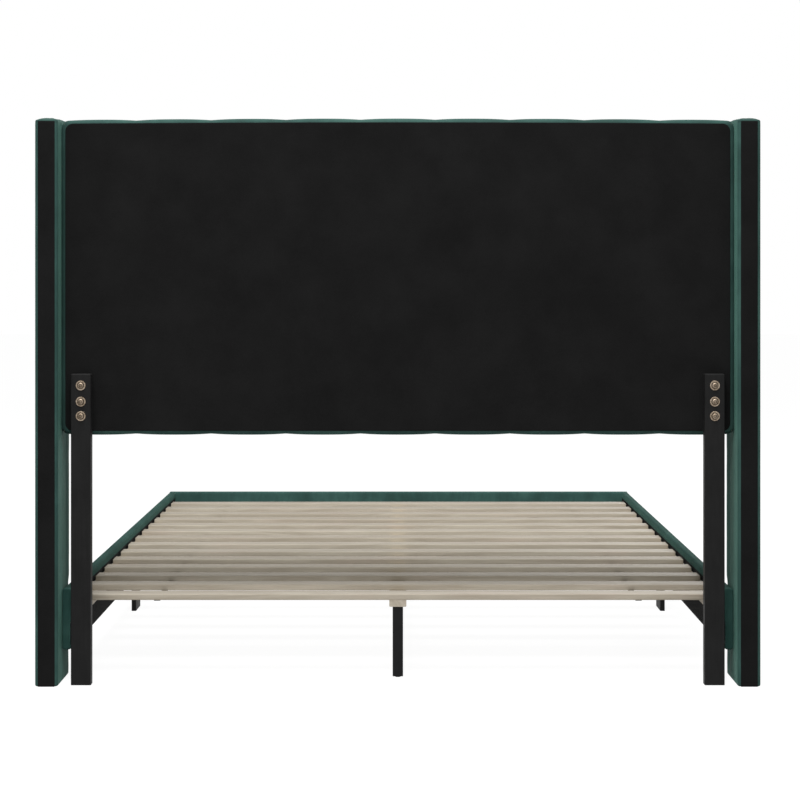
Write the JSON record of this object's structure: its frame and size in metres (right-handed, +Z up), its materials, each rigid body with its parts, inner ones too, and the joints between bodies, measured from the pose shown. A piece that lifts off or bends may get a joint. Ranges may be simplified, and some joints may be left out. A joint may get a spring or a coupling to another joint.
{
  "type": "wingback bed",
  "caption": "Upholstered wingback bed frame: channelled velvet headboard between full-height wings, low padded rails, slatted deck on a centre beam with legs.",
  "frame": {"origin": "on the floor, under the middle of the bed's overall width and length", "axes": "+Z up, +Y towards the headboard, +X to the right of someone who stands at the foot and faces the headboard"},
  "size_m": [1.7, 2.175, 1.336],
  "materials": {
    "green_velvet": "short-pile velvet with a soft sheen",
    "black_cloth": "matt non-woven cloth",
    "strap_webbing": "woven webbing",
    "pale_timber": "planed pale poplar, unvarnished",
    "frame_timber": "sawn softwood and thin plywood",
    "beech": "planed hardwood",
    "black_painted_timber": "matt black paint",
    "black_steel": "black powder coat",
    "black_plastic": "moulded, lightly textured",
    "bronze_steel": "bronze plated",
    "zinc_steel": "zinc plated"
  },
  "bodies": {
    "bed_frame": {"beam_cleat": "zinc_steel", "centre_beam": "pale_timber", "centre_leg_1": "black_steel", "centre_leg_2": "black_steel", "centre_leg_plugs": "black_plastic", "foot_board": "frame_timber", "foot_brackets": "zinc_steel", "foot_cover": "green_velvet", "foot_legs": "black_painted_timber", "head_brackets": "zinc_steel", "headboard_back_cover": "black_cloth", "headboard_channel_pad": "green_velvet", "headboard_cross_rails": "frame_timber", "headboard_front_board": "frame_timber", "headboard_stiles": "frame_timber", "headboard_uprights": "frame_timber", "ledger_left": "pale_timber", "ledger_right": "pale_timber", "mid_legs": "black_painted_timber", "post_bolts": "bronze_steel", "post_left": "black_painted_timber", "post_right": "black_painted_timber", "rail_left_board": "frame_timber", "rail_left_cover": "green_velvet", "rail_left_liner": "black_cloth", "rail_right_board": "frame_timber", "rail_right_cover": "green_velvet", "rail_right_liner": "black_cloth", "slat_01": "pale_timber", "slat_02": "pale_timber", "slat_03": "pale_timber", "slat_04": "pale_timber", "slat_05": "pale_timber", "slat_06": "pale_timber", "slat_07": "pale_timber", "slat_08": "pale_timber", "slat_09": "pale_timber", "slat_10": "pale_timber", "slat_11": "pale_timber", "slat_12": "pale_timber", "slat_13": "pale_timber", "slat_14": "pale_timber", "slat_straps": "strap_webbing", "wing_back_strips": "black_cloth", "wing_bolts": "zinc_steel", "wing_left_cover": "green_velvet", "wing_left_frame": "frame_timber", "wing_left_panels": "frame_timber", "wing_right_cover": "green_velvet", "wing_right_frame": "frame_timber", "wing_right_panels": "frame_timber", "wing_tongues": "beech"},
    "glide_1": {"levelling_glide_1": "black_plastic"},
    "glide_2": {"levelling_glide_2": "black_plastic"}
  },
  "joints": [
    {"name": "glide_1_screw", "type": "slide", "parent": "bed_frame", "child": "glide_1", "axis": [0, 0, -1], "range_m": [0, 0.01]},
    {"name": "glide_2_screw", "type": "slide", "parent": "bed_frame", "child": "glide_2", "axis": [0, 0, -1], "range_m": [0, 0.01]}
  ]
}
